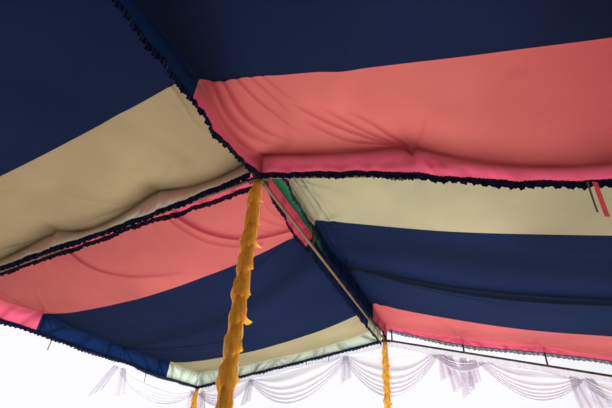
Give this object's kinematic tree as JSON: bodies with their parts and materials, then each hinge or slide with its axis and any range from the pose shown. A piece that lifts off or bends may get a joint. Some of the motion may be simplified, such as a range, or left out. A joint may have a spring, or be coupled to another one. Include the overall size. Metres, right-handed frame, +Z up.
{
  "type": "wedding tent",
  "caption": "Gabled event tent of steel pipe frames with striped fabric ceiling, ruffled post wraps, swagged valances and a tarpaulin roof.",
  "frame": {"origin": "on the ground at the middle of the tent, under the middle ridge post", "axes": "+Z up, +Y along the ridge, +X across the tent"},
  "size_m": [6.24, 8.164, 3.6714],
  "materials": {
    "steel": "grey painted steel pipe, weathered",
    "rusted_steel": "steel pipe with worn primer and light rust",
    "orange_cloth": "satin cloth gathered in a spiral",
    "lining": "woven lining sewn in navy, pink and cream stripes with a gathered navy trim",
    "tarpaulin": "green woven tarpaulin",
    "white_voile": "sheer white voile in swags"
  },
  "bodies": {
    "root": {"post_left_near": "steel", "post_wrap_left_near": "orange_cloth", "post_left_middle": "steel", "post_wrap_left_middle": "orange_cloth", "post_left_far": "steel", "post_wrap_left_far": "orange_cloth", "post_ridge_near": "steel", "post_wrap_ridge_near": "orange_cloth", "post_ridge_middle": "steel", "post_wrap_ridge_middle": "orange_cloth", "post_ridge_far": "steel", "post_wrap_ridge_far": "orange_cloth", "post_right_near": "steel", "post_wrap_right_near": "orange_cloth", "post_right_middle": "steel", "post_wrap_right_middle": "orange_cloth", "post_right_far": "steel", "post_wrap_right_far": "orange_cloth", "rafter_left_near": "steel", "rafter_right_near": "steel", "rafter_left_middle": "steel", "rafter_right_middle": "steel", "rafter_left_far": "steel", "rafter_right_far": "steel", "ridge_beam_near": "rusted_steel", "eave_beam_left_near": "steel", "eave_beam_right_near": "steel", "ridge_beam_far": "rusted_steel", "eave_beam_left_far": "steel", "eave_beam_right_far": "steel", "ceiling_left_near": "lining", "ceiling_right_near": "lining", "ceiling_left_far": "lining", "ceiling_right_far": "lining", "roof_tarpaulin": "tarpaulin", "valance_gable_far": "white_voile", "valance_left_far": "white_voile", "valance_right_far": "white_voile", "valance_gable_near": "white_voile", "valance_left_near": "white_voile", "valance_right_near": "white_voile"}
  },
  "joints": []
}
